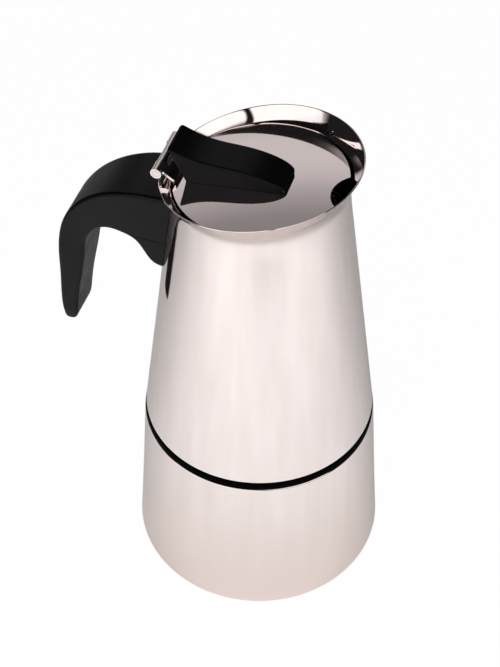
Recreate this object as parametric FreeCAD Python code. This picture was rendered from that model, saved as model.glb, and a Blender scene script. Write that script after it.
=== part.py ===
import FreeCAD
import Part
import math
import os

os.makedirs("parts", exist_ok=True)
V = FreeCAD.Vector
ORIGIN = V(0, 0, 0)
UP = V(0, 0, 1)
ACROSS = V(0, 1, 0)
LOFT_DEGREE = 3

# Millimetres, +Z up, the floor of the boiler at z 0 on the pot's axis.
# The pouring side is +X, the handle and the lid's hinge are at -X.

# Overall sizes
BASE_RADIUS = 47.6
BOILER_HEIGHT = 64.5
COLLECTOR_HEIGHT = 96.7
NECK_RADIUS = 28.7
SHOULDER_INSET = 5.1
SEAM_HEIGHT = 3.6
FOOT_STEP = 0.65

# Sheet and fits
BOILER_WALL = 0.8
WALL = 0.6
TOUCH = 0.03
SLIP = 0.15
RUNNING_FIT = 0.05
HANDLE_FIT = 0.08

# Boiler
BASE_ROUND = 0.8
SHOULDER_ROUND = 0.5
BOILER_BULGE = -0.15
SEAM_RING_GAP = 0.1
SEAM_RING_LEDGE = 2.0
SEAM_RING_PROUD = 0.25
SEAM_RING_BEVEL = 0.5

# Thread between boiler and collector
FLOOR_RISE = 15.5
FLOOR_SHEET = 0.8
RING_WALL = 0.8
THREAD_DEPTH = 0.45
THREAD_CLEARANCE = 0.35
THREAD_PITCH = 4.0
THREAD_HALF_BASE = 0.8
THREAD_HALF_CREST = 0.25
COLLAR_WALL = 1.0
GASKET_HEIGHT = 3.0
PLATE_SHEET = 0.6
FLANGE_SHEET = 0.8

# Funnel
BASKET_INSET = 6.0
BASKET_DEPTH = 19.4
BASKET_CONE = 4.0
STEM_RADIUS = 4.5
STEM_WALL = 0.6
STEM_FLOOR_GAP = 8.0
HOLE_RADIUS = 0.8
HOLE_SPACING = 5.0

# Riser column in the collector
RISER_SHARE = 0.56
RISER_FOOT_RADIUS = 9.0
RISER_RADIUS = 5.2
RISER_TOP_RADIUS = 4.6
RISER_WALL = 0.8
RISER_CAP_RADIUS = 5.7
RISER_CAP_HEIGHT = 3.6
RISER_CAP_ROUND = 2.2
OUTLET_WIDTH = 3.0
OUTLET_HEIGHT = 5.0

# Flared rim, measured from the neck
RIM_OUTREACH = 3.77
RIM_RISE = 11.4
RIM_SLANT = 5.29
RIM_BOW = -0.69
RIM_EDGE = 0.3
NECK_SLANT = 1.6
NECK_SOFTEN = 0.9
FLARE_MID = 0.42

# Lid
LID_RISE = 6.6
LID_SLOPE = 0.068
LID_INSET = 0.6
LID_THICKNESS = 1.0
LID_GAP = 0.45
NOTCH_RADIUS = 9.9
NOTCH_OUTSET = 5.0
NOTCH_SIDE = -1.2
LID_FLAT = 2.6

# Hinge
PIN_RADIUS = 1.0
PIN_RISE = 8.5
PIN_INSET = 0.87
HINGE_HALF = 10.0
KNUCKLE_LENGTH = 4.8
KNUCKLE_GAP = 0.15
STRAP_SHEET = 0.8
LEAF_SHEET = 0.6
STRAP_HALF = 9.2
STRAP_FOOT_HALF = 6.3
STRAP_FOOT_REACH = 15.1
STRAP_LIFT = 1.65

# Knob fixings, their places measured from the lid's edge at the hinge
KNOB_SCREW_RADIUS = 1.5
KNOB_SCREW_HEAD = 2.9
KNOB_SCREW_HEAD_HEIGHT = 1.5
KNOB_SCREW_DEPTH = 3.6
KNOB_SCREW_REACHES = (12.1, 25.6)
KNOB_WASHER_RADIUS = 3.8
KNOB_WASHER_SHEET = 0.6
KNOB_EDGE = 0.9

# Handle
HANDLE_EDGE = 1.3
HANDLE_UNDER_EDGE = 1.1
COVER_LEVEL = -19.2
COVER_LINE = 0.2
COVER_REACH = 12.6
COVER_PEG = 1.3
COVER_PEG_SIDE = 9.2
BRACKET_SHEET = 1.0
BRACKET_HALF = 6.5
BRACKET_TOP = -4.0
BRACKET_BOTTOM = -25.0
TONGUE_LEVEL = -9.8
TONGUE_SHEET = 2.0
TONGUE_HALF = 5.0
TONGUE_REACH = 19.5
HANDLE_SCREW_REACH = 13.4
HANDLE_SCREW_RADIUS = 1.95
HANDLE_SCREW_HEAD = 3.4
HANDLE_SCREW_HEAD_HEIGHT = 2.2
HANDLE_SCREW_LEVEL = -15.3

# Safety valve
VALVE_SHARE = 0.6
VALVE_SHANK = 4.0
VALVE_FLATS = 13.0
VALVE_HEX_HEIGHT = 5.0
VALVE_NOSE = 4.6
VALVE_NOSE_END = 9.0
VALVE_INNER_END = -6.5
VALVE_SEAT = -4.5
VALVE_CHAMBER = 3.0
VALVE_INLET = 1.2
VALVE_CAP_SEAT = 7.6
VALVE_CAP_END = 9.9
VALVE_PIN = 1.4
VALVE_PIN_END = 12.6
VALVE_DISC = 2.6
VALVE_DISC_SHEET = 1.2
VALVE_WASHER_RADIUS = 7.0
VALVE_WASHER_HEIGHT = 1.2
VALVE_NUT_HEIGHT = 4.6
SPRING_RADIUS = 2.2
SPRING_WIRE = 0.28
SPRING_PITCH = 1.55

# Levels and radii that follow from the sizes above
COLLECTOR_Z = BOILER_HEIGHT + SEAM_HEIGHT
NECK_Z = COLLECTOR_Z + COLLECTOR_HEIGHT
BOILER_TOP_RADIUS = BASE_RADIUS - SHOULDER_INSET
FOOT_RADIUS = BOILER_TOP_RADIUS - FOOT_STEP
CONE_SLOPE = (FOOT_RADIUS - NECK_RADIUS) / COLLECTOR_HEIGHT
RIM_RADIUS = NECK_RADIUS + RIM_OUTREACH
FLOOR_Z = COLLECTOR_Z + FLOOR_RISE
FLOOR_TOP = FLOOR_Z + FLOOR_SHEET
PLATE_Z = FLOOR_Z - PLATE_SHEET
GASKET_Z = PLATE_Z - GASKET_HEIGHT
COLLAR_TOP = GASKET_Z - FLANGE_SHEET
LID_Z = NECK_Z + LID_RISE
LID_RADIUS = NECK_RADIUS - LID_INSET
LID_ANGLE = math.atan(LID_SLOPE)
PIN_X = -(RIM_RADIUS - PIN_INSET)
PIN_Z = NECK_Z + PIN_RISE


def cone_radius(z):
    return FOOT_RADIUS - CONE_SLOPE * (z - COLLECTOR_Z)


def cone_inside(z):
    return cone_radius(z) - WALL * math.sqrt(1 + CONE_SLOPE ** 2) - TOUCH


RING_OUT = cone_inside(FLOOR_Z)
RING_IN = RING_OUT - RING_WALL
COLLAR_OUT = RING_IN - 2 * THREAD_DEPTH - THREAD_CLEARANCE
COLLAR_IN = COLLAR_OUT - COLLAR_WALL
BASKET_RADIUS = COLLAR_IN - BASKET_INSET


# Small helpers for drawing
def edges_of(start, steps, place):
    edges = []
    here = place(*start)
    for step in steps:
        end = place(*step[-2:])
        if len(step) == 4:
            edges.append(Part.Arc(here, place(*step[:2]), end).toShape())
        else:
            edges.append(Part.makeLine(here, end))
        here = end
    edges.append(Part.makeLine(here, place(*start)))
    return edges


def flat_xz(x, z):
    return V(x, 0, z)


def turned(start, *steps):
    face = Part.Face(Part.Wire(edges_of(start, steps, flat_xz)))
    return face.revolve(ORIGIN, UP, 360)


def slab(half, start, *steps):
    face = Part.Face(Part.Wire(edges_of(start, steps, flat_xz)))
    face.translate(V(0, -half, 0))
    return face.extrude(V(0, 2 * half, 0))


def box(x0, x1, y0, y1, z0, z1):
    return Part.makeBox(x1 - x0, y1 - y0, z1 - z0, V(x0, y0, z0))


def rod(radius, base, axis, length):
    return Part.makeCylinder(radius, length, base, axis)


def hexagon(flats, z0, z1):
    corner = flats / math.sqrt(3)
    points = [V(corner * math.cos(a), corner * math.sin(a), z0)
              for a in (math.radians(60 * i) for i in range(7))]
    return Part.Face(Part.makePolygon(points)).extrude(V(0, 0, z1 - z0))


def save(name, shape):
    shape = shape.removeSplitter() if shape.ShapeType != "Compound" else shape
    solids = shape.Solids
    good = bool(solids) and all(s.isValid() and s.Volume > 0 for s in solids)
    print(name, len(solids), "valid" if good else "NOT VALID",
          round(sum(s.Volume for s in solids), 1))
    out = solids[0] if len(solids) == 1 else Part.makeCompound(solids)
    out.exportStep("parts/" + name + ".step")


# A tapered bar is lofted through rounded sections. Each lies between an upper and a lower point
# of the bar's side outline, with one half width above and one below.
def section(top, bottom, half_top, half_bottom, edge_top, edge_bottom, place):
    height = math.hypot(top[0] - bottom[0], top[1] - bottom[1])
    ux = (top[0] - bottom[0]) / height
    uz = (top[1] - bottom[1]) / height

    def at(y, v):
        x, z = place(bottom[0] + ux * v, bottom[1] + uz * v)
        return V(x, y, z)

    et = min(edge_top, 0.42 * height, 0.8 * half_top)
    eb = min(edge_bottom, 0.42 * height, 0.8 * half_bottom)
    kt = et * (1 - math.sqrt(0.5))
    kb = eb * (1 - math.sqrt(0.5))
    lean = (half_top - half_bottom) / height
    low = half_bottom + lean * eb
    high = half_top - lean * et
    wire = [
        Part.makeLine(at(-half_bottom + eb, 0), at(half_bottom - eb, 0)),
        Part.Arc(at(half_bottom - eb, 0), at(half_bottom - kb, kb), at(low, eb)).toShape(),
        Part.makeLine(at(low, eb), at(high, height - et)),
        Part.Arc(at(high, height - et), at(half_top - kt, height - kt),
                 at(half_top - et, height)).toShape(),
        Part.makeLine(at(half_top - et, height), at(et - half_top, height)),
        Part.Arc(at(et - half_top, height), at(kt - half_top, height - kt),
                 at(-high, height - et)).toShape(),
        Part.makeLine(at(-high, height - et), at(-low, eb)),
        Part.Arc(at(-low, eb), at(kb - half_bottom, kb), at(eb - half_bottom, 0)).toShape(),
    ]
    return Part.Wire(wire)


# Boiler: one drawn shell, open at the top for the collar
def side_radius(z):
    share = z / BOILER_HEIGHT
    return BASE_RADIUS - SHOULDER_INSET * share + 4 * BOILER_BULGE * share * (1 - share)


def boiler_fill(inset, floor, top, mouth, mouth_top):
    low = floor + BASE_ROUND
    high = top - SHOULDER_ROUND
    middle = (low + high) / 2
    diagonal = 1 - math.sqrt(0.5)
    r_low = side_radius(low) - inset
    r_high = side_radius(high) - inset
    return turned(
        (0, floor),
        (r_low - BASE_ROUND, floor),
        (r_low - BASE_ROUND * diagonal, floor + BASE_ROUND * diagonal, r_low, low),
        (side_radius(middle) - inset, middle, r_high, high),
        (r_high - SHOULDER_ROUND * diagonal, top - SHOULDER_ROUND * diagonal,
         r_high - SHOULDER_ROUND, top),
        (mouth, top),
        (mouth, mouth_top),
        (0, mouth_top),
    )


boiler_outside = boiler_fill(0, 0, BOILER_HEIGHT, COLLAR_OUT, BOILER_HEIGHT + 0.01)
boiler_outside = boiler_outside.common(
    box(-2 * BASE_RADIUS, 2 * BASE_RADIUS, -2 * BASE_RADIUS, 2 * BASE_RADIUS, 0, BOILER_HEIGHT))
boiler_inside = boiler_fill(BOILER_WALL, BOILER_WALL, BOILER_HEIGHT - BOILER_WALL,
                            COLLAR_OUT, BOILER_HEIGHT + 1)
valve_z = VALVE_SHARE * BOILER_HEIGHT
valve_y = side_radius(valve_z)
valve_hole = rod(VALVE_SHANK + TOUCH, V(0, valve_y - 6, valve_z), ACROSS, 12)
save("boiler_shell", boiler_outside.cut(boiler_inside).cut(valve_hole))


# One turn of thread is a ridge swept along a helix
def ridge(radius, out, z0, height):
    path = Part.makeHelix(THREAD_PITCH, height, radius)
    path.translate(V(0, 0, z0))
    root = radius - out * 0.15
    crest = radius + out * THREAD_DEPTH
    corners = [V(root, 0, z0 - THREAD_HALF_BASE), V(crest, 0, z0 - THREAD_HALF_CREST),
               V(crest, 0, z0 + THREAD_HALF_CREST), V(root, 0, z0 + THREAD_HALF_BASE)]
    profile = Part.makePolygon(corners + corners[:1])
    return Part.Wire(path.Edges).makePipeShell([profile], True, True)


collar = turned(
    (COLLAR_IN, BOILER_HEIGHT - BOILER_WALL),
    (COLLAR_OUT, BOILER_HEIGHT - BOILER_WALL),
    (COLLAR_OUT, COLLAR_TOP),
    (COLLAR_IN, COLLAR_TOP),
)
male_from = COLLECTOR_Z + 1.6
male_length = COLLAR_TOP - 1.4 - male_from
save("boiler_neck", collar.fuse(ridge(COLLAR_OUT, 1, male_from, male_length)))

seam_in = COLLAR_OUT + THREAD_DEPTH + 2 * SLIP
seam_out = FOOT_RADIUS + SEAM_RING_PROUD
seam_ledge = BOILER_HEIGHT + SEAM_RING_LEDGE
seam_top = COLLECTOR_Z - SEAM_RING_GAP
save("seam_ring", turned(
    (seam_in, BOILER_HEIGHT),
    (seam_out, BOILER_HEIGHT),
    (seam_out, seam_ledge),
    (seam_out - SEAM_RING_BEVEL, seam_ledge + SEAM_RING_BEVEL),
    (seam_out - SEAM_RING_BEVEL, seam_top),
    (seam_in, seam_top),
))


# Safety valve, drawn along +Z from the boiler's outer face and then laid over to +Y
def on_side(shape):
    shape = shape.copy()
    shape.rotate(ORIGIN, V(1, 0, 0), -90)
    shape.translate(V(0, valve_y, valve_z))
    return shape


hex_end = VALVE_WASHER_HEIGHT + VALVE_HEX_HEIGHT
hex_corner = VALVE_FLATS / math.sqrt(3)
hex_chamfer = turned(
    (0, VALVE_WASHER_HEIGHT),
    (hex_corner, VALVE_WASHER_HEIGHT),
    (hex_corner, hex_end - 1),
    (hex_corner - 1.6, hex_end),
    (0, hex_end),
)
valve = hexagon(VALVE_FLATS, VALVE_WASHER_HEIGHT, hex_end).common(hex_chamfer)
valve = valve.fuse(rod(VALVE_NOSE, V(0, 0, hex_end - 1), UP, VALVE_NOSE_END - hex_end + 1))
valve = valve.fuse(rod(VALVE_SHANK, V(0, 0, VALVE_INNER_END), UP, hex_end - 1 - VALVE_INNER_END))
valve = valve.cut(rod(VALVE_CHAMBER, V(0, 0, VALVE_SEAT), UP, VALVE_NOSE_END - VALVE_SEAT + 1))
valve = valve.cut(rod(VALVE_INLET, V(0, 0, VALVE_INNER_END - 1), UP, 9))
save("valve_body", on_side(valve))
save("valve_cap", on_side(turned(
    (VALVE_PIN + RUNNING_FIT, VALVE_CAP_SEAT),
    (VALVE_CHAMBER, VALVE_CAP_SEAT),
    (VALVE_CHAMBER, VALVE_NOSE_END),
    (VALVE_NOSE, VALVE_NOSE_END),
    (VALVE_NOSE, VALVE_CAP_END - 0.5),
    (VALVE_NOSE - 0.5, VALVE_CAP_END),
    (VALVE_PIN + RUNNING_FIT, VALVE_CAP_END),
)))
disc_end = VALVE_SEAT + VALVE_DISC_SHEET
save("valve_stem", on_side(turned(
    (0, VALVE_SEAT),
    (VALVE_DISC, VALVE_SEAT),
    (VALVE_DISC, disc_end),
    (VALVE_PIN, disc_end),
    (VALVE_PIN, VALVE_PIN_END - 0.6),
    (VALVE_PIN - 0.6, VALVE_PIN_END),
    (0, VALVE_PIN_END),
)))
spring_from = disc_end + SPRING_WIRE + 0.02
spring_length = VALVE_CAP_SEAT - disc_end - 2 * SPRING_WIRE - 0.04
coil = Part.makeHelix(SPRING_PITCH, spring_length, SPRING_RADIUS)
coil.translate(V(0, 0, spring_from))
wire_end = Part.Wire(Part.makeCircle(SPRING_WIRE, V(SPRING_RADIUS, 0, spring_from), ACROSS))
save("valve_spring", on_side(Part.Wire(coil.Edges).makePipeShell([wire_end], True, True)))
print("spring turns clear of each other by", round(SPRING_PITCH - 2 * SPRING_WIRE, 2))
washer = turned(
    (VALVE_SHANK + TOUCH, -2),
    (VALVE_WASHER_RADIUS, -2),
    (VALVE_WASHER_RADIUS, VALVE_WASHER_HEIGHT),
    (VALVE_SHANK + TOUCH, VALVE_WASHER_HEIGHT),
)
save("valve_washer", on_side(washer).cut(boiler_outside))
nut = hexagon(VALVE_FLATS, -VALVE_NUT_HEIGHT - BOILER_WALL, 1)
nut = nut.cut(rod(VALVE_SHANK, V(0, 0, -9), UP, 12))
save("valve_nut", on_side(nut).common(boiler_inside))


# Funnel hanging on the collar
def perforated(radius, z, sheet, reach):
    plate = rod(radius, V(0, 0, z), UP, sheet)
    drills = []
    rows = int(reach / HOLE_SPACING) + 2
    for i in range(-rows, rows + 1):
        for j in range(-rows, rows + 1):
            x = HOLE_SPACING * (i + j / 2)
            y = HOLE_SPACING * math.sqrt(3) / 2 * j
            if math.hypot(x, y) < reach:
                drills.append(rod(HOLE_RADIUS, V(x, y, z - 1), UP, sheet + 2))
    return plate.cut(Part.makeCompound(drills))


basket_in = BASKET_RADIUS - WALL
basket_low = GASKET_Z - BASKET_DEPTH
save("funnel_cup", turned(
    (COLLAR_OUT - 0.25, COLLAR_TOP),
    (COLLAR_OUT - 0.25, GASKET_Z),
    (basket_in, GASKET_Z),
    (basket_in, basket_low),
    (STEM_RADIUS, basket_low - BASKET_CONE),
    (STEM_RADIUS, basket_low - BASKET_CONE - WALL),
    (BASKET_RADIUS, basket_low - WALL),
    (BASKET_RADIUS, COLLAR_TOP),
))
stem_top = basket_low - BASKET_CONE + 0.4
save("funnel_stem", turned(
    (STEM_RADIUS - STEM_WALL, STEM_FLOOR_GAP),
    (STEM_RADIUS, STEM_FLOOR_GAP),
    (STEM_RADIUS, stem_top),
    (STEM_RADIUS - STEM_WALL, stem_top),
))
save("funnel_screen", perforated(basket_in - TOUCH, basket_low, PLATE_SHEET, basket_in - 3))

# Sealing parts under the collector
gasket_out = RING_IN - THREAD_DEPTH - 2 * SLIP
gasket_in = BASKET_RADIUS - 0.2
save("gasket", turned(
    (gasket_in, GASKET_Z),
    (gasket_out - 0.5, GASKET_Z),
    (gasket_out, GASKET_Z + 0.5),
    (gasket_out, PLATE_Z - 0.5),
    (gasket_out - 0.5, PLATE_Z),
    (gasket_in, PLATE_Z),
))
save("filter_plate", perforated(gasket_out - 0.8, PLATE_Z, PLATE_SHEET, gasket_in - 2))

# Collector: the cone runs up into a slanted neck and a flare that is tall at the pouring side
CONE_LEVELS = (0.0, 0.1, 0.2, 0.3, 0.4, 0.5, 0.6, 0.7, 0.78, 0.84, 0.88, 0.92, 0.955)
MERIDIANS = 48
FLARE_STEPS = 2


def meridian(angle):
    c = math.cos(angle)
    lid_level = LID_Z - LID_THICKNESS / 2 + LID_SLOPE * LID_RADIUS * c
    lid_reach = LID_RADIUS + LID_GAP + WALL
    rim_level = NECK_Z + RIM_RISE + RIM_SLANT * c + RIM_BOW * math.cos(2 * angle)
    mid_reach = lid_reach + FLARE_MID * (RIM_RADIUS - lid_reach)
    points = []
    for share in CONE_LEVELS:
        z = COLLECTOR_Z + share * COLLECTOR_HEIGHT
        points.append((cone_radius(z), z))
    points.append((NECK_RADIUS, NECK_Z + NECK_SOFTEN + NECK_SLANT * c))
    points.append((lid_reach, lid_level))
    points.append((mid_reach, (lid_level + rim_level) / 2))
    points.append((RIM_RADIUS, rim_level))
    return points


# Rings between the stations above the cone follow a smooth line, so the flare does not wave
def filled(points):
    curve = Part.BSplineCurve()
    curve.interpolate([V(r, 0, z) for r, z in points])
    first = len(CONE_LEVELS) - 1
    line = list(points[:first])
    for (r0, z0), (r1, z1) in zip(points[first:], points[first + 1:]):
        start = curve.parameter(V(r0, 0, z0))
        stop = curve.parameter(V(r1, 0, z1))
        for step in range(FLARE_STEPS):
            at = curve.value(start + (stop - start) * step / FLARE_STEPS)
            line.append((at.x, at.z))
    line.append(points[-1])
    return line


def inset_points(points, depths):
    curve = Part.BSplineCurve()
    curve.interpolate([V(r, 0, z) for r, z in points])
    moved = []
    for (r, z), depth in zip(points, depths):
        at = curve.parameter(V(r, 0, z))
        tangent = curve.tangent(at)[0]
        moved.append((r - depth * tangent.z, z + depth * tangent.x))
    level = moved[0][1] - points[0][1]
    moved[0] = (moved[0][0] + CONE_SLOPE * level, points[0][1])
    return moved


def ring_wires(depth):
    angles = [2 * math.pi * i / MERIDIANS for i in range(MERIDIANS)]
    lines = [filled(meridian(a)) for a in angles]
    if depth:
        count = len(lines[0])
        shares = [min(1, (count - 1 - k) / FLARE_STEPS) for k in range(count)]
        depths = [RIM_EDGE + (depth - RIM_EDGE) * share for share in shares]
        lines = [inset_points(line, depths) for line in lines]
    wires = []
    for k in range(len(lines[0])):
        points = [V(line[k][0] * math.cos(a), line[k][0] * math.sin(a), line[k][1])
                  for a, line in zip(angles, lines)]
        loop = Part.BSplineCurve()
        loop.interpolate(Points=points, PeriodicFlag=True)
        wires.append(Part.Wire(loop.toShape()))
    return wires


outer_wires = ring_wires(0)
inner_wires = ring_wires(WALL)
skin_out = Part.makeLoft(outer_wires, False, False, False, LOFT_DEGREE)
skin_in = Part.makeLoft(inner_wires, False, False, False, LOFT_DEGREE)


def end_ring(a, b):
    return Part.makeRuledSurface(a, b)


def boundary(skin, high):
    loops = sorted((e for e in skin.Edges if e.isClosed()), key=lambda e: e.BoundBox.Center.z)
    return loops[-1] if high else loops[0]


rim_face = end_ring(boundary(skin_out, True), boundary(skin_in, True))
foot_face = end_ring(boundary(skin_out, False), boundary(skin_in, False))
sewn = Part.makeShell(skin_out.Faces + skin_in.Faces + rim_face.Faces + foot_face.Faces)
sewn.sewShape()
collector = Part.makeSolid(sewn)
if collector.Volume < 0:
    collector.reverse()
save("collector_shell", collector)

female_from = COLLECTOR_Z + 1.2
female_length = COLLAR_TOP - female_from - 0.4
thread_ring = turned(
    (RING_IN, COLLECTOR_Z),
    (cone_inside(COLLECTOR_Z), COLLECTOR_Z),
    (cone_inside(COLLECTOR_Z + FLOOR_SHEET), COLLECTOR_Z + FLOOR_SHEET),
    (RING_OUT, COLLECTOR_Z + FLOOR_SHEET),
    (RING_OUT, FLOOR_Z),
    (RING_IN, FLOOR_Z),
)
save("thread_ring", thread_ring.fuse(ridge(RING_IN, -1, female_from, female_length)))

riser_bore = RISER_RADIUS
save("collector_floor", turned(
    (riser_bore, FLOOR_Z),
    (cone_inside(FLOOR_Z), FLOOR_Z),
    (cone_inside(FLOOR_TOP), FLOOR_TOP),
    (riser_bore, FLOOR_TOP),
))

riser_top = FLOOR_TOP + RISER_SHARE * COLLECTOR_HEIGHT
riser_waist = FLOOR_TOP + 8
riser = turned(
    (riser_bore, FLOOR_TOP),
    (RISER_FOOT_RADIUS, FLOOR_TOP),
    (RISER_FOOT_RADIUS, FLOOR_TOP + RISER_WALL),
    (RISER_RADIUS + 0.9, FLOOR_TOP + 3, RISER_RADIUS, riser_waist),
    (RISER_TOP_RADIUS, riser_top),
    (RISER_TOP_RADIUS - RISER_WALL, riser_top),
    (RISER_RADIUS - RISER_WALL, riser_waist),
)
outlet_top = riser_top - RISER_CAP_HEIGHT - 1
riser = riser.cut(box(-OUTLET_WIDTH / 2, OUTLET_WIDTH / 2, -20, 20,
                      outlet_top - OUTLET_HEIGHT, outlet_top))
save("riser_column", riser)
cap_low = riser_top - RISER_CAP_HEIGHT
cap_grip = RISER_TOP_RADIUS + 0.08
cap_top = riser_top + RISER_CAP_HEIGHT
cap_turn = RISER_CAP_ROUND * (1 - math.sqrt(0.5))
save("riser_cap", turned(
    (cap_grip, cap_low),
    (RISER_CAP_RADIUS, cap_low),
    (RISER_CAP_RADIUS, cap_top - RISER_CAP_ROUND),
    (RISER_CAP_RADIUS - cap_turn, cap_top - cap_turn, RISER_CAP_RADIUS - RISER_CAP_ROUND, cap_top),
    (0, cap_top),
    (0, riser_top),
    (cap_grip, riser_top),
))

# Handle: stations along its side outline, each measured outward and upward from the neck as
# upper point, lower point, half width
HANDLE_STATIONS = (
    (-4.6, -0.3, -4.6, -29.9, 12.0),
    (1.9, -0.3, 2.4, -30.2, 12.0),
    (5.4, -0.4, 6.0, -28.4, 11.9),
    (8.9, -0.7, 9.0, -23.6, 11.8),
    (12.9, -1.4, 12.6, -20.1, 11.6),
    (17.9, -2.8, 17.2, -19.1, 11.1),
    (23.4, -5.2, 21.4, -19.4, 10.4),
    (29.5, -9.5, 25.5, -21.5, 9.7),
    (34.4, -14.8, 28.5, -24.8, 9.1),
    (38.0, -20.6, 30.5, -28.3, 8.7),
    (41.0, -29.6, 31.9, -33.7, 8.4),
    (42.5, -42.2, 34.0, -45.1, 8.1),
    (43.4, -55.0, 36.6, -57.1, 7.8),
    (43.9, -67.3, 38.4, -68.4, 7.4),
    (43.7, -70.6, 39.3, -71.1, 6.9),
    (42.8, -72.1, 40.5, -72.2, 6.1),
)


def from_neck(d, z):
    return -(NECK_RADIUS + d), NECK_Z + z


def plain(x, z):
    return x, z


handle_sections = []
for d_top, z_top, d_low, z_low, half in HANDLE_STATIONS:
    handle_sections.append(section(from_neck(d_top, z_top), from_neck(d_low, z_low), half, half,
                                   HANDLE_EDGE, HANDLE_UNDER_EDGE, plain))
handle = Part.makeLoft(handle_sections, True, False, False, LOFT_DEGREE)


def vessel(grow, low, high):
    return turned(
        (0, low),
        (cone_radius(low) + grow, low),
        (cone_radius(NECK_Z) + grow, NECK_Z),
        (cone_radius(NECK_Z) + grow + 0.4, high),
        (0, high),
    )


deep = NECK_Z - 60
handle = handle.cut(vessel(HANDLE_FIT, deep, NECK_Z + 6))

tongue_low = NECK_Z + TONGUE_LEVEL
tongue_top = tongue_low + TONGUE_SHEET
tongue_end = -(NECK_RADIUS + TONGUE_REACH)
screw_x = -(NECK_RADIUS + HANDLE_SCREW_REACH)
screw_seat = NECK_Z + HANDLE_SCREW_LEVEL
screw_end = tongue_top + 2.6
leaf_out = PIN_X - PIN_RADIUS - LEAF_SHEET
leaf_in = leaf_out + LEAF_SHEET
leaf_half = HINGE_HALF - KNUCKLE_LENGTH - KNUCKLE_GAP
leaf_foot_end = screw_x - 3.6


def bracket_shape(grow, half, low, high, tongue_half, tongue_grow):
    plate = vessel(BRACKET_SHEET + grow, deep, NECK_Z + 6)
    plate = plate.common(box(-2 * BASE_RADIUS, 0, -half, half, low, high))
    tongue = box(tongue_end - tongue_grow, -cone_radius(tongue_low), -tongue_half, tongue_half,
                 tongue_low - tongue_grow, tongue_top + tongue_grow)
    return plate.fuse(tongue).cut(vessel(HANDLE_FIT, deep, NECK_Z + 6))


bracket = bracket_shape(0, BRACKET_HALF, NECK_Z + BRACKET_BOTTOM, NECK_Z + BRACKET_TOP, TONGUE_HALF, 0)
pocket = bracket_shape(SLIP, BRACKET_HALF + SLIP, NECK_Z + BRACKET_BOTTOM - SLIP,
                       NECK_Z + BRACKET_TOP + SLIP, TONGUE_HALF + SLIP, SLIP)
bracket = bracket.cut(rod(HANDLE_SCREW_RADIUS, V(screw_x, 0, tongue_low - 5), UP, 15))
save("handle_bracket", bracket)

leaf_room = box(leaf_out - SLIP, leaf_in + SLIP, -leaf_half - SLIP, leaf_half + SLIP,
                tongue_top - SLIP, NECK_Z + 8)
foot_room = box(leaf_foot_end - SLIP, leaf_in + SLIP, -leaf_half - SLIP, leaf_half + SLIP,
                tongue_top - SLIP, tongue_top + LEAF_SHEET + SLIP)
screw_room = rod(HANDLE_SCREW_RADIUS + SLIP, V(screw_x, 0, screw_seat), UP,
                 screw_end + SLIP - screw_seat)
head_room = rod(HANDLE_SCREW_HEAD + 2 * SLIP, V(screw_x, 0, screw_seat - 30), UP, 30)
for room in (pocket, leaf_room, foot_room, screw_room, head_room):
    handle = handle.cut(room)

cover_z = NECK_Z + COVER_LEVEL
cover_end = -(NECK_RADIUS + COVER_REACH)
lug_half = HANDLE_STATIONS[0][4] + 1
cover_box = box(cover_end, 0, -lug_half, lug_half, cover_z - 20, cover_z)
cover_room = box(cover_end - COVER_LINE, 0, -lug_half, lug_half, cover_z - 20, cover_z + COVER_LINE)
peg_x = -(cone_radius(cover_z) + BRACKET_SHEET + COVER_PEG + 1.2)
cover = handle.common(cover_box)
handle = handle.cut(cover_room)
for side in (-COVER_PEG_SIDE, COVER_PEG_SIDE):
    cover = cover.fuse(rod(COVER_PEG, V(peg_x, side, cover_z - 0.5), UP, 4.5))
    handle = handle.cut(rod(COVER_PEG + SLIP / 2, V(peg_x, side, cover_z), UP, 4.5))
save("handle_cover", cover)
save("handle", handle)


def screw(head_radius, head_height, shank_radius, shank_length):
    shape = turned(
        (0, shank_length),
        (shank_radius - 0.4, shank_length),
        (shank_radius, shank_length - 0.4),
        (shank_radius, 0),
        (head_radius, 0),
        (head_radius, -head_height * 0.55),
        (head_radius * 0.72, -head_height * 0.93, head_radius * 0.3, -head_height),
        (0, -head_height),
    )
    long = head_radius * 0.62
    thin = head_radius * 0.16
    depth = head_height * 0.5
    cross = box(-long, long, -thin, thin, -head_height - 1, depth - head_height)
    cross = cross.fuse(box(-thin, thin, -long, long, -head_height - 1, depth - head_height))
    return shape.cut(cross)


fixing = screw(HANDLE_SCREW_HEAD, HANDLE_SCREW_HEAD_HEIGHT,
               HANDLE_SCREW_RADIUS - TOUCH, screw_end - screw_seat)
fixing.translate(V(screw_x, 0, screw_seat))
save("handle_screw", fixing)

# Hinge: the pot's leaf carries the middle knuckle and the pin
pin_at = V(PIN_X, -HINGE_HALF, PIN_Z)
save("hinge_pin", rod(PIN_RADIUS, pin_at, ACROSS, 2 * HINGE_HALF))


def knuckle(inner, outer, y0, y1):
    body = rod(outer, V(PIN_X, y0, PIN_Z), ACROSS, y1 - y0)
    return body.cut(rod(inner, V(PIN_X, y0 - 1, PIN_Z), ACROSS, y1 - y0 + 2))


leaf = slab(
    leaf_half,
    (leaf_out, PIN_Z),
    (leaf_out, tongue_top + LEAF_SHEET),
    (leaf_foot_end, tongue_top + LEAF_SHEET),
    (leaf_foot_end, tongue_top),
    (leaf_in, tongue_top),
    (leaf_in, PIN_Z),
)
leaf = leaf.fuse(rod(PIN_RADIUS + LEAF_SHEET, V(PIN_X, -leaf_half, PIN_Z), ACROSS, 2 * leaf_half))
leaf = leaf.cut(rod(PIN_RADIUS, V(PIN_X, -20, PIN_Z), ACROSS, 40))
leaf = leaf.cut(rod(HANDLE_SCREW_RADIUS + SLIP, V(screw_x, 0, tongue_top - 3), UP, 6))
save("hinge_bracket", leaf)


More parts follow.
